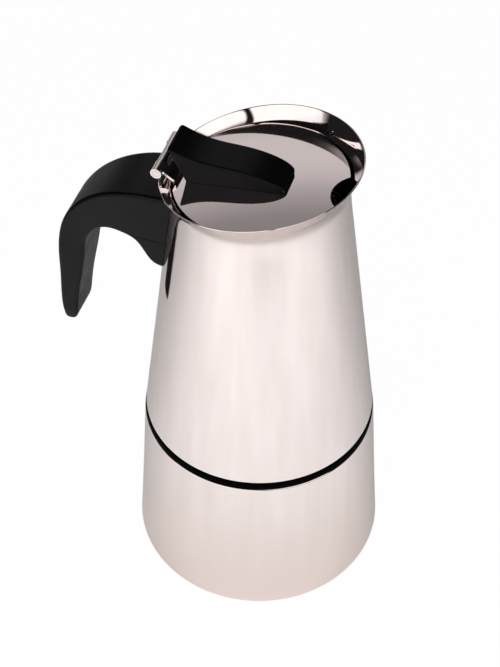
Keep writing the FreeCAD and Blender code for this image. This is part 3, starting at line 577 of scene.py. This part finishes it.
# Studio: white to the eye. What the steel mirrors is set by direction: a low pale wall all round, a
# graded sheet behind the pot, a pale patch of ceiling on the pouring side, a tall lit sheet before
# the pot on either side with a slit between them for the camera, and a dark room for the rest.
# The graded sheet is given by its light at each height. Each edge of a lit sheet is given by the
# way that points from the edge into the sheet.
AMBIENT = 0.012
AMBIENT_TINT = (1.0, 0.93, 0.91, 1)
BACKDROP = ((0.0, 0.03), (0.30, 0.10), (0.38, 0.50), (0.46, 0.66), (0.52, 0.66), (0.56, 0.62),
            (0.59, 0.56), (0.615, 0.47), (0.64, 0.40), (0.665, 0.34), (0.685, 0.29), (0.72, 0.27),
            (0.80, 0.08), (0.88, 0.02))
BACKDROP_TINT = (1.0, 0.955, 0.955)
BACKDROP_LEFT = (-0.62, -0.50)
BACKDROP_RIGHT = (-0.10, 0.03)
BACKDROP_BACK = (0.0, 0.4)
LIT = (1.15, 1.12, 1.12, 1)
WALL_TOP = (0.12, 0.34)
CEILING = (0.55, 0.54, 0.54, 1)
CEILING_EDGE = (0.945, 0.985)
CEILING_LEFT = (-0.06, 0.08)
LEFT_END = (0.545, -0.839, 0.0)
LEFT_TOP = (0.159, -0.772, -0.615)
SLIT_LEFT = (-0.881, -0.420, -0.220)
SLIT_RIGHT = (0.757, 0.593, 0.273)
RIGHT_END = (-0.327, -0.900, 0.288)
RIGHT_TOP = (0.949, -0.060, -0.309)
LEFT_FOOT = (0.0, 0.28)
RIGHT_FOOT = (0.26, 0.70)
SHEET_EDGE = (-0.03, 0.03)


# How far a direction lies in a lit sheet, above its foot and inside its edges
def lit_sheet(tree, toward, height, foot, *edges):
    share = add(tree, "ShaderNodeMapRange", EASED, Value=height, **span("From", foot))
    for edge in edges:
        turn = add(tree, "ShaderNodeVectorMath", ALONG, i0=toward, i1=edge)
        inside = add(tree, "ShaderNodeMapRange", EASED, Value=turn, **span("From", SHEET_EDGE))
        share = add(tree, "ShaderNodeMath", TIMES, i0=share, i1=inside)
    return share


# The graded sheet's light at each height
def backdrop(tree, height):
    ramp = add(tree, "ShaderNodeValToRGB", None, Fac=height)
    steps = ramp.color_ramp.elements
    while len(steps) < len(BACKDROP):
        steps.new(0.5)
    for step, (level, light) in zip(steps, BACKDROP):
        step.position = level
        step.color = (*[light * c for c in BACKDROP_TINT], 1)
    return ramp


def studio():
    world = bpy.data.worlds.new("studio")
    world.use_nodes = True
    sky = world.node_tree
    sky.nodes.clear()
    toward = add(sky, "ShaderNodeTexCoord").outputs["Generated"]
    way = add(sky, "ShaderNodeSeparateXYZ", None, Vector=toward)
    side = way.outputs["X"]
    height = way.outputs["Z"]

    enter = add(sky, "ShaderNodeMapRange", EASED, Value=side, **span("From", BACKDROP_LEFT))
    leave = add(sky, "ShaderNodeMapRange", EASED, Value=side, **span("From", BACKDROP_RIGHT))
    back = add(sky, "ShaderNodeMapRange", EASED, Value=way.outputs["Y"], **span("From", BACKDROP_BACK))
    across = add(sky, "ShaderNodeMath", {"operation": "SUBTRACT"}, i0=enter, i1=leave)
    behind = add(sky, "ShaderNodeMath", TIMES, i0=back, i1=across)
    rear = add(sky, "ShaderNodeMix", COLOURS, i0=behind, i6=ROOM, i7=backdrop(sky, height))

    over_wall = add(sky, "ShaderNodeMapRange", EASED, Value=height, **span("From", WALL_TOP))
    around = add(sky, "ShaderNodeMix", COLOURS, i0=over_wall, i6=wall(sky, toward), i7=rear)
    high = add(sky, "ShaderNodeMapRange", EASED, Value=height, **span("From", CEILING_EDGE))
    pouring = add(sky, "ShaderNodeMapRange", EASED, Value=side, **span("From", CEILING_LEFT))
    overhead = add(sky, "ShaderNodeMath", TIMES, i0=high, i1=pouring)
    above = add(sky, "ShaderNodeMix", COLOURS, i0=overhead, i6=around, i7=CEILING)

    left = lit_sheet(sky, toward, height, LEFT_FOOT, LEFT_END, SLIT_LEFT, LEFT_TOP)
    right = lit_sheet(sky, toward, height, RIGHT_FOOT, SLIT_RIGHT, RIGHT_END, RIGHT_TOP)
    front = add(sky, "ShaderNodeMath", {"operation": "MAXIMUM"}, i0=left, i1=right)
    seen = add(sky, "ShaderNodeMix", COLOURS, i0=front, i6=above, i7=LIT)

    even = add(sky, "ShaderNodeBackground", None, Color=AMBIENT_TINT, Strength=AMBIENT)
    room = add(sky, "ShaderNodeBackground", None, Color=seen, Strength=1.0)
    white = add(sky, "ShaderNodeBackground", None, Color=WHITE, Strength=1.0)
    path = add(sky, "ShaderNodeLightPath")
    lit = add(sky, "ShaderNodeMixShader", None, Fac=path.outputs["Is Glossy Ray"], i1=even, i2=room)
    whole = add(sky, "ShaderNodeMixShader", None, Fac=path.outputs["Is Camera Ray"], i1=lit, i2=white)
    add(sky, "ShaderNodeOutputWorld", None, Surface=whole)
    return world


scene.world = studio()

# Two broad soft lamps light the floor from the left and the right of the camera, and a small warm
# one from behind. Steel mirrors the floor they light and not the lamps. Each is placed by its
# bearing, its distance on the floor and its height, and faces the pot.
AIM_HEIGHT = 0.06


def soft_lamp(name, bearing, reach, high, size, power, colour="#FFFFFF"):
    turn = math.radians(bearing)
    lamp = bpy.data.lights.new(name, "AREA")
    lamp.color = linear(colour)[:3]
    lamp.shape = "SQUARE"
    lamp.size = size
    lamp.energy = power
    stand = bpy.data.objects.new(name, lamp)
    stand.location = (reach * math.cos(turn), reach * math.sin(turn), high)
    stand.rotation_euler = (math.atan2(reach, high - AIM_HEIGHT), 0, turn + math.pi / 2)
    stand.visible_camera = False
    stand.visible_glossy = False
    scene.collection.objects.link(stand)


soft_lamp("lamp_left", bearing=-113, reach=0.313, high=0.326, size=0.456, power=1.69)
soft_lamp("lamp_right", bearing=-22, reach=0.351, high=0.293, size=0.378, power=1.14)
soft_lamp("lamp_behind", bearing=118, reach=0.385, high=0.303, size=0.070, power=0.07, colour="#FFE4DE")

# Camera: where the photograph was taken from, looking down on the pot
CAMERA_PLACE = (0.09352, -0.30974, 0.44475)
CAMERA_TURN = (math.radians(43.18), 0, math.radians(17.42))
LENS = 72.09
SENSOR = 36
camera = bpy.data.cameras.new("camera")
camera.lens = LENS
camera.sensor_width = SENSOR
eye = bpy.data.objects.new("camera", camera)
eye.location = CAMERA_PLACE
eye.rotation_euler = CAMERA_TURN
scene.collection.objects.link(eye)
scene.camera = eye
